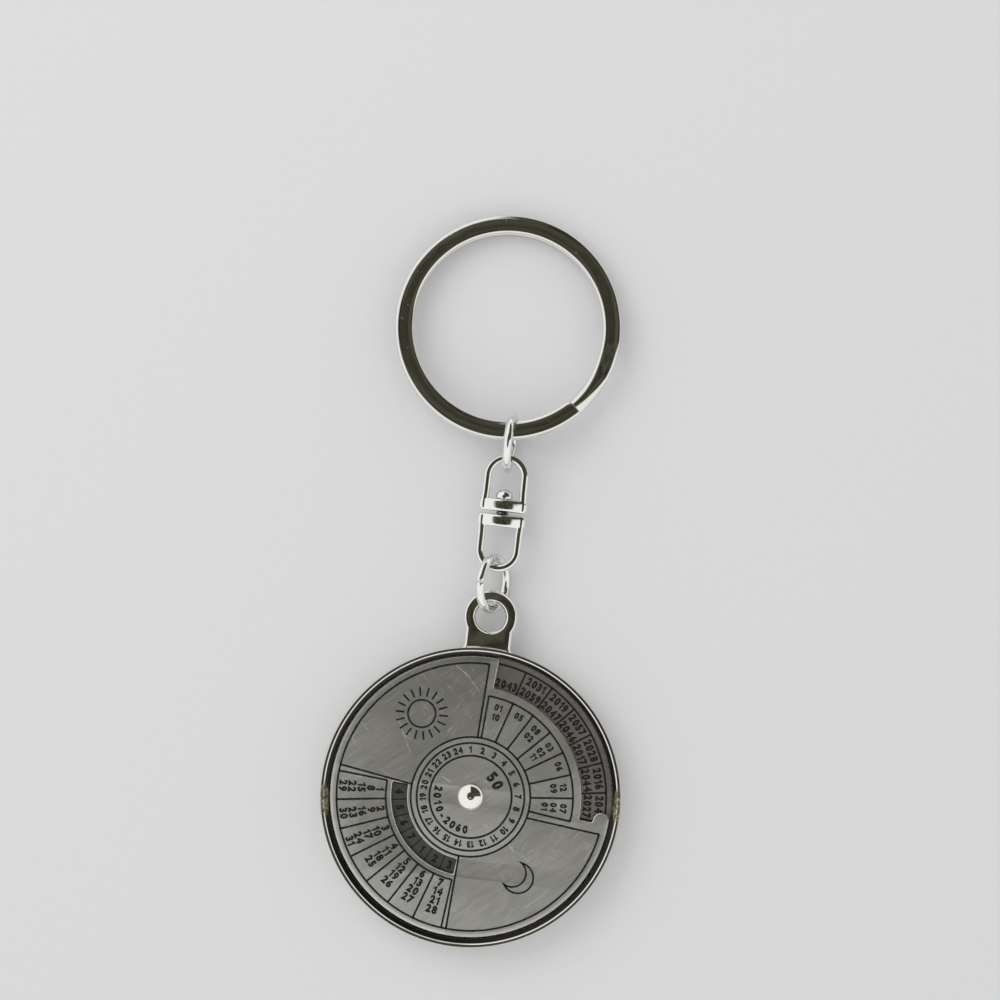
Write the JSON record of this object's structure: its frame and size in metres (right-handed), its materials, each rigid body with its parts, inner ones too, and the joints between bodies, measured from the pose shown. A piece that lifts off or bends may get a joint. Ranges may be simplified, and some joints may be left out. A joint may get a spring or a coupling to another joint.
{
  "type": "perpetual calendar keyring",
  "caption": "Round metal keyring with a turning calendar dial in a cast case, joined by a jump ring, swivel and link to a flat split ring.",
  "frame": {"origin": "middle of the case's flat back face, on the dial's axis", "axes": "+Z out of the dial's face, +Y from the dial's middle through the lug's eye towards the split ring, +X to the right of the dial"},
  "size_m": [0.04, 0.098, 0.0084],
  "materials": {
    "case_plating": "polished",
    "year_plate_metal": "satin",
    "washer_brass": "satin",
    "rivet_plating": "polished",
    "dial_metal": "satin",
    "wire_plating": "polished",
    "swivel_plating": "polished",
    "split_ring_plating": "polished",
    "print_ink": "satin"
  },
  "bodies": {
    "case": {"case": "case_plating", "year_plate": "year_plate_metal", "dial_washer": "washer_brass", "centre_rivet": "rivet_plating"},
    "dial": {"dial": "dial_metal"},
    "jump_ring": {"lug_jump_ring": "wire_plating"},
    "swivel_lower": {"swivel_lower_frame": "swivel_plating", "swivel_pin": "swivel_plating"},
    "swivel_upper": {"swivel_upper_frame": "swivel_plating"},
    "link": {"ring_link": "wire_plating"},
    "split_ring": {"split_ring": "split_ring_plating"}
  },
  "joints": [
    {"name": "dial_turn", "type": "hinge", "parent": "case", "child": "dial", "pos_m": [0, 0, 0.00305], "axis": [0, 0, 1], "continuous": true},
    {"name": "lug_swing", "type": "hinge", "parent": "case", "child": "jump_ring", "pos_m": [-0.0002, 0.027, 0.0034], "axis": [0.866, 0, 0.5], "range_deg": [-100, 110]},
    {"name": "swivel_sway", "type": "hinge", "parent": "jump_ring", "child": "swivel_lower", "pos_m": [0, 0.03323, 0.00361], "axis": [0, 0, -1], "range_deg": [-60, 60]},
    {"name": "swivel_spin", "type": "hinge", "parent": "swivel_lower", "child": "swivel_upper", "pos_m": [0, 0.03816, 0.00361], "axis": [0, 1, 0], "continuous": true},
    {"name": "link_fold", "type": "hinge", "parent": "swivel_upper", "child": "link", "pos_m": [0, 0.04556, 0.00361], "axis": [0.9962, 0, 0.0872], "range_deg": [-110, 75]},
    {"name": "ring_turn", "type": "hinge", "parent": "link", "child": "split_ring", "pos_m": [-0.00201, 0.06286, 0.0028], "axis": [0, 0.1032, 0.9947], "continuous": true}
  ]
}
